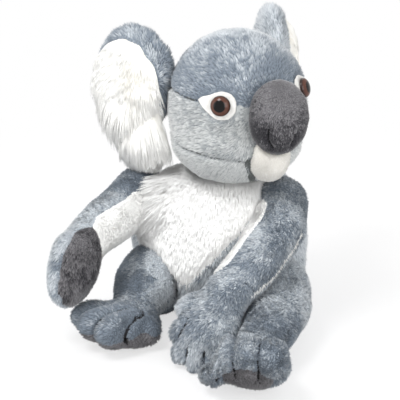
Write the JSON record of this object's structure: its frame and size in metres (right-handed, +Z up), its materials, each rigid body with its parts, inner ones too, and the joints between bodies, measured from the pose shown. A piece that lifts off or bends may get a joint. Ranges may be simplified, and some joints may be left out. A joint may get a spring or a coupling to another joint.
{
  "type": "plush koala",
  "caption": "Sitting stuffed koala with large fur-lined ears, domed eyes, a padded nose, a long-haired bib, and a head, ears, arms and legs that move.",
  "frame": {"origin": "middle of the flat seat, on the floor that the koala sits on", "axes": "+Z up, -Y the way the chest faces, +X to the koala's own left"},
  "size_m": [0.2329, 0.3474, 0.275],
  "materials": {
    "grey_plush": "short blue-grey pile with frosted tips",
    "pale_plush": "short pale grey pile",
    "white_pile": "long white pile",
    "dark_plush": "short dark grey-brown pile",
    "white_felt": "flat white felt",
    "fibre_fill": "loose white polyester fibre, hidden",
    "eye_plastic": "glossy brown dome with a black pupil",
    "washer_plastic": "moulded, hidden"
  },
  "bodies": {
    "body": {"body_skin": "grey_plush", "chest_bib": "white_pile", "body_stuffing": "fibre_fill"},
    "head": {"head_crown": "grey_plush", "left_cheek": "pale_plush", "right_cheek": "pale_plush", "chin_panel": "pale_plush", "head_stuffing": "fibre_fill", "left_eye_patch": "white_felt", "left_eye": "eye_plastic", "left_eye_washer": "washer_plastic", "right_eye_patch": "white_felt", "right_eye": "eye_plastic", "right_eye_washer": "washer_plastic", "nose": "dark_plush", "nose_stuffing": "fibre_fill", "muzzle": "white_pile"},
    "left_ear": {"left_ear_back": "grey_plush", "left_ear_lining": "white_pile"},
    "right_ear": {"right_ear_back": "grey_plush", "right_ear_lining": "white_pile"},
    "left_arm": {"left_arm_skin": "grey_plush", "left_arm_inner_panel": "white_pile", "left_palm_pad": "dark_plush", "left_arm_stuffing": "fibre_fill"},
    "right_arm": {"right_arm_skin": "grey_plush", "right_arm_inner_panel": "white_pile", "right_palm_pad": "dark_plush", "right_arm_stuffing": "fibre_fill"},
    "left_leg": {"left_leg_skin": "grey_plush", "left_sole_pad": "dark_plush", "left_leg_stuffing": "fibre_fill"},
    "right_leg": {"right_leg_skin": "grey_plush", "right_sole_pad": "dark_plush", "right_leg_stuffing": "fibre_fill"}
  },
  "joints": [
    {"name": "neck_turn", "type": "hinge", "parent": "body", "child": "head", "pos_m": [0.008, 0.014, 0.13215], "axis": [0, 0, 1], "range_deg": [-50, 20]},
    {"name": "left_shoulder_lift", "type": "hinge", "parent": "body", "child": "left_arm", "pos_m": [0.063, -0.004, 0.108], "axis": [-0.9858, 0.1682, 0], "range_deg": [0, 25]},
    {"name": "right_shoulder_lift", "type": "hinge", "parent": "body", "child": "right_arm", "pos_m": [-0.073, -0.004, 0.108], "axis": [-0.9847, 0.174, 0], "range_deg": [0, 25]},
    {"name": "left_hip_splay", "type": "hinge", "parent": "body", "child": "left_leg", "pos_m": [0.065, -0.036, 0.0335], "axis": [0, 0, 1], "range_deg": [0, 20]},
    {"name": "right_hip_splay", "type": "hinge", "parent": "body", "child": "right_leg", "pos_m": [-0.049, -0.036, 0.0335], "axis": [0, 0, -1], "range_deg": [0, 20]},
    {"name": "left_ear_fold", "type": "hinge", "parent": "head", "child": "left_ear", "pos_m": [0.04482, 0.0575, 0.226], "axis": [0, 0, 1], "range_deg": [-12, 12]},
    {"name": "right_ear_fold", "type": "hinge", "parent": "head", "child": "right_ear", "pos_m": [-0.03864, -0.01504, 0.217], "axis": [0, 0, 1], "range_deg": [-12, 12]}
  ]
}
